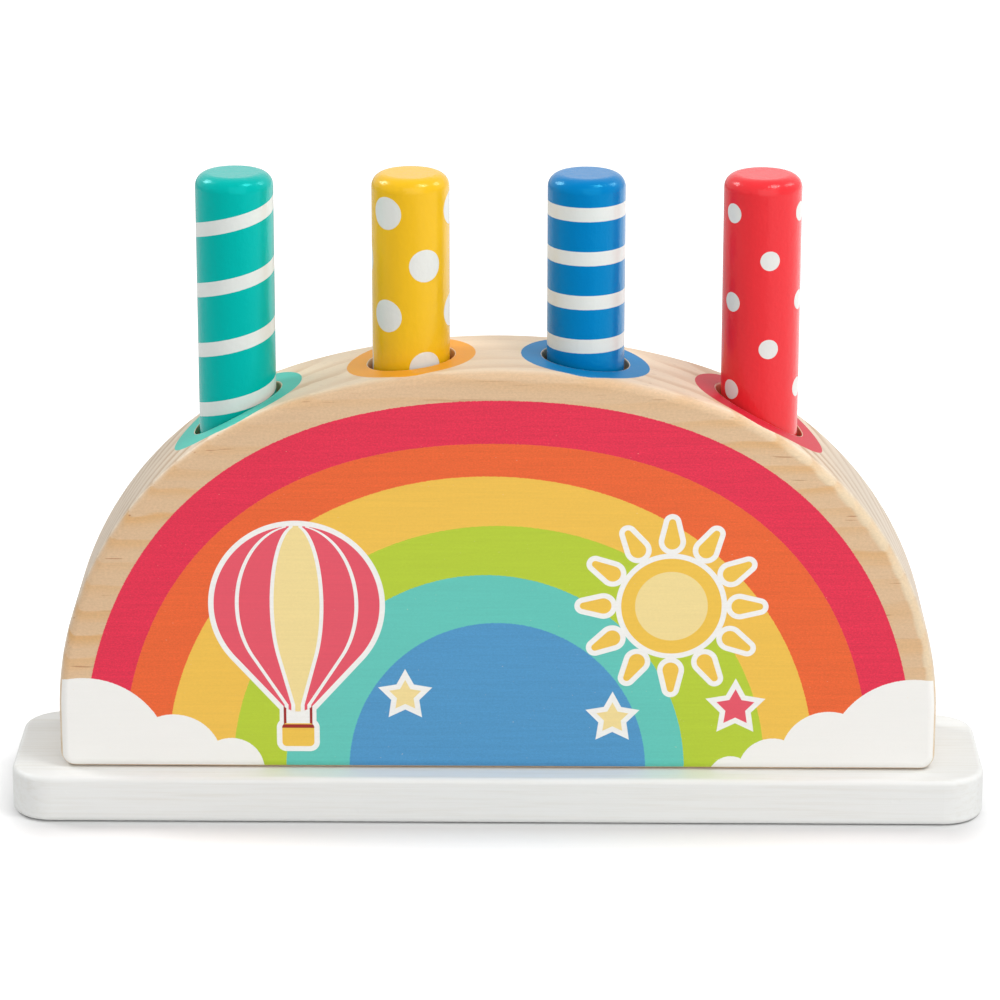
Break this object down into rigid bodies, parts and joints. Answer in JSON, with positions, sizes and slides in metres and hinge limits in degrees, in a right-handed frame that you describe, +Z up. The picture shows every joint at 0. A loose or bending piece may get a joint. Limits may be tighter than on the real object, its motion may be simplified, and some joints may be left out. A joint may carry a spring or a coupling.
{
  "type": "pop-up activity toy",
  "caption": "Wooden pop-up toy: an arched pine block on a white base board, with round painted pegs that stand on hidden springs, press down into their bores and lift out.",
  "frame": {"origin": "centre of the underside of the base board, where it rests on a table", "axes": "+X along the board, to the right seen from the printed front; +Y from front to back; +Z up, along the pegs"},
  "size_m": [0.255, 0.05, 0.1686],
  "materials": {
    "white_paint": "satin white paint on wood",
    "pine": "sanded bare pine, printed on its front",
    "teal_paint": "glossy paint on turned wood",
    "yellow_paint": "glossy paint on turned wood",
    "blue_paint": "glossy paint on turned wood",
    "red_paint": "glossy paint on turned wood",
    "spring_steel": "bright spring wire",
    "zinc_steel": "zinc plated"
  },
  "bodies": {
    "block": {"base_board": "white_paint", "arch_block": "pine", "spring_staples": "zinc_steel", "base_screws": "zinc_steel"},
    "teal_spring": {"teal_spring": "spring_steel"},
    "teal_peg": {"teal_peg": "teal_paint"},
    "yellow_spring": {"yellow_spring": "spring_steel"},
    "yellow_peg": {"yellow_peg": "yellow_paint"},
    "blue_spring": {"blue_spring": "spring_steel"},
    "blue_peg": {"blue_peg": "blue_paint"},
    "red_spring": {"red_spring": "spring_steel"},
    "red_peg": {"red_peg": "red_paint"}
  },
  "joints": [
    {"name": "teal_press", "type": "slide", "parent": "block", "child": "teal_spring", "axis": [0, 0, 1], "range_m": [-0.045, 0], "stiffness_N_per_m": 250, "springref_m": 0.003, "deforming": ["teal_spring"]},
    {"name": "teal_lift", "type": "slide", "parent": "teal_spring", "child": "teal_peg", "axis": [0, 0, 1], "range_m": [0, 0.055]},
    {"name": "yellow_press", "type": "slide", "parent": "block", "child": "yellow_spring", "axis": [0, 0, 1], "range_m": [-0.045, 0], "stiffness_N_per_m": 250, "springref_m": 0.003, "deforming": ["yellow_spring"]},
    {"name": "yellow_lift", "type": "slide", "parent": "yellow_spring", "child": "yellow_peg", "axis": [0, 0, 1], "range_m": [0, 0.055]},
    {"name": "blue_press", "type": "slide", "parent": "block", "child": "blue_spring", "axis": [0, 0, 1], "range_m": [-0.045, 0], "stiffness_N_per_m": 250, "springref_m": 0.003, "deforming": ["blue_spring"]},
    {"name": "blue_lift", "type": "slide", "parent": "blue_spring", "child": "blue_peg", "axis": [0, 0, 1], "range_m": [0, 0.055]},
    {"name": "red_press", "type": "slide", "parent": "block", "child": "red_spring", "axis": [0, 0, 1], "range_m": [-0.045, 0], "stiffness_N_per_m": 250, "springref_m": 0.003, "deforming": ["red_spring"]},
    {"name": "red_lift", "type": "slide", "parent": "red_spring", "child": "red_peg", "axis": [0, 0, 1], "range_m": [0, 0.055]}
  ]
}
